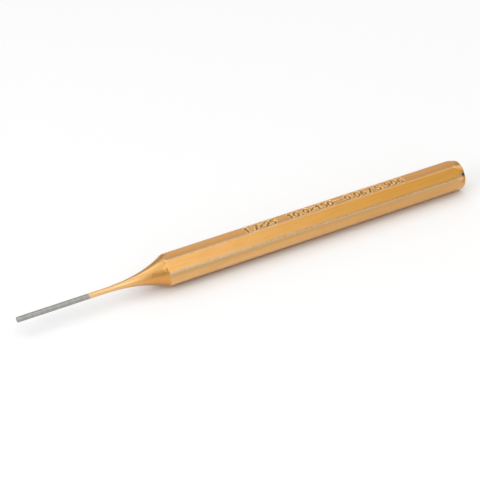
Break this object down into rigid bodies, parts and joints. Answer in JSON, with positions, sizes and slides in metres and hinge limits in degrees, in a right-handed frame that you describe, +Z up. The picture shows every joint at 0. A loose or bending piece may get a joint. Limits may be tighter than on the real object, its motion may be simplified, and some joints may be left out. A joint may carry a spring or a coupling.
{
  "type": "pin punch",
  "caption": "Slim octagonal steel pin punch, lacquered gold, with a turned neck, a long parallel pin bare at its tip, and a rounded struck head.",
  "frame": {"origin": "on the surface that the punch lies on, under the middle of its length", "axes": "+X along the punch from the pin's tip to the struck head, +Z up, square to the flat that it lies on"},
  "size_m": [0.15, 0.01, 0.01],
  "materials": {
    "lacquered_steel": "thin gold lacquer, satin, over turned and drawn steel; the last part of the pin is bare ground steel"
  },
  "bodies": {
    "root": {"pin_punch": "lacquered_steel"}
  },
  "joints": []
}
